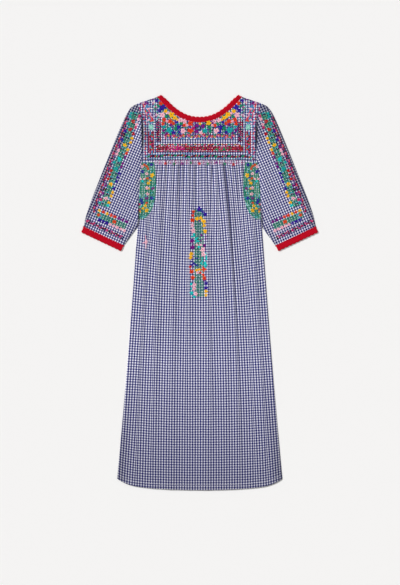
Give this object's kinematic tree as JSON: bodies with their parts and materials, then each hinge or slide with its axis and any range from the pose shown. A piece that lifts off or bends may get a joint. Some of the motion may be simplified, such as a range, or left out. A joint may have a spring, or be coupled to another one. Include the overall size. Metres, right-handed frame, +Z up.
{
  "type": "midi dress",
  "caption": "Check cotton midi dress laid flat, with square yoke, gathered A-line skirt, elbow sleeves and scalloped edging.",
  "frame": {"origin": "on the surface that the dress lies on, under the middle of its outline", "axes": "+X towards the wearer's left, +Y from the hem to the neck, +Z up out of the surface, through the front"},
  "size_m": [0.6864, 1.1463, 0.0074],
  "materials": {
    "check_cotton": "matt woven cotton",
    "red_crochet": "matt cotton crochet"
  },
  "bodies": {
    "root": {"back_skirt": "check_cotton", "back_yoke": "check_cotton", "front_skirt": "check_cotton", "front_yoke": "check_cotton", "sleeve_left": "check_cotton", "sleeve_right": "check_cotton", "neck_edging": "red_crochet", "cuff_edging_left": "red_crochet", "cuff_edging_right": "red_crochet"}
  },
  "joints": []
}
